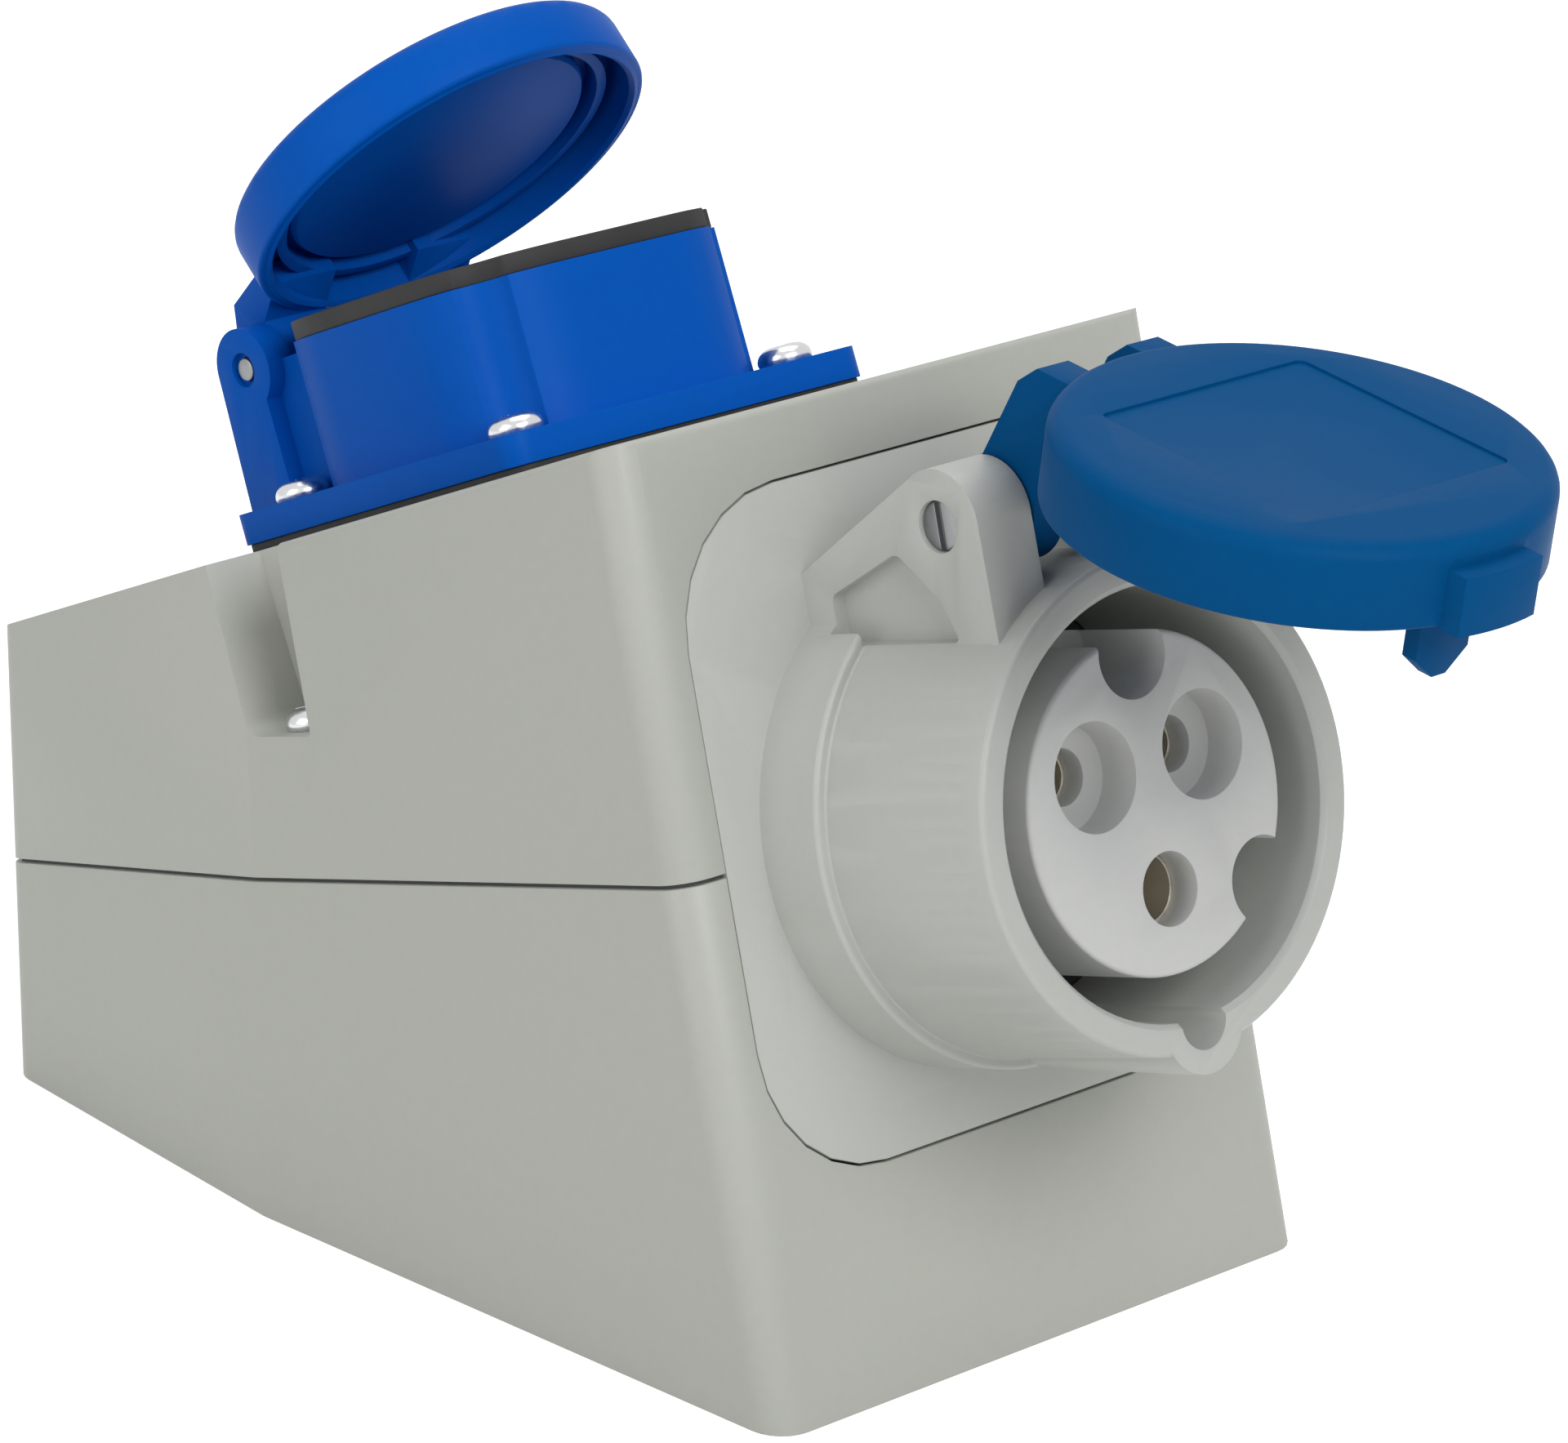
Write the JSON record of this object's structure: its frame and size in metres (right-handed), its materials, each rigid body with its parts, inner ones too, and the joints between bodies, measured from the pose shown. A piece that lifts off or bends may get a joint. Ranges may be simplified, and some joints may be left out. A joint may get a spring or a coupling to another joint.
{
  "type": "industrial wall socket",
  "caption": "Surface-mounted grey wall socket box: a round industrial socket with a hinged lid on the leaning front, a household socket with a hinged lid on the sloping top",
  "frame": {"origin": "the middle of the four wall screw holes, on the face that lies against the wall", "axes": "+Z out of the wall, -Y towards the round industrial socket (which faces down on the wall), +Y towards the cable entry, X across the case"},
  "size_m": [0.0786, 0.2049, 0.131],
  "materials": {
    "case_grey": "satin moulded polyamide",
    "sleeve_grey": "satin moulded polyamide",
    "seal_rubber": "matt moulded rubber",
    "screw_steel": "bright zinc plated steel",
    "pin_steel": "plain drawn steel",
    "spring_steel": "drawn spring wire",
    "insert_pale": "satin moulded polyamide",
    "contact_plated": "turned brass with nickel plating",
    "lid_blue": "satin moulded polyamide",
    "panel_blue": "satin moulded polyamide"
  },
  "bodies": {
    "housing": {"back_box": "case_grey", "cover": "case_grey", "cover_gasket": "seal_rubber", "cover_screw_left": "screw_steel", "cover_screw_right": "screw_steel", "entry_grommet": "seal_rubber", "plug_sleeve": "sleeve_grey", "sleeve_gasket": "seal_rubber", "contact_insert": "insert_pale", "insert_screws": "screw_steel", "plug_line_contact_left": "contact_plated", "plug_line_contact_right": "contact_plated", "plug_earth_contact": "contact_plated", "plug_clamp_screws": "screw_steel", "plug_lid_pin": "pin_steel", "panel_housing": "panel_blue", "panel_gasket": "seal_rubber", "panel_seal": "seal_rubber", "panel_insert": "panel_blue", "panel_line_contact_left": "contact_plated", "panel_line_contact_right": "contact_plated", "panel_earth_strap": "pin_steel", "panel_centre_screw": "screw_steel", "panel_clamp_screws": "screw_steel", "panel_screws": "screw_steel", "panel_lid_pin": "pin_steel"},
    "plug_lid_body": {"plug_lid": "lid_blue", "plug_lid_seal": "seal_rubber", "plug_lid_spring": "spring_steel"},
    "panel_lid_body": {"panel_lid": "panel_blue", "panel_lid_spring": "spring_steel"}
  },
  "joints": [
    {"name": "plug_lid_hinge", "type": "hinge", "parent": "housing", "child": "plug_lid_body", "pos_m": [0, -0.06841, 0.09391], "axis": [-1, 0, 0], "range_deg": [-67, 26], "stiffness_Nm_per_rad": 0.02, "springref_deg": -107},
    {"name": "panel_lid_hinge", "type": "hinge", "parent": "housing", "child": "panel_lid_body", "pos_m": [0, 0.04047, 0.08796], "axis": [-1, 0, 0], "range_deg": [-24.2, 78], "stiffness_Nm_per_rad": 0.015, "springref_deg": -64.2}
  ]
}
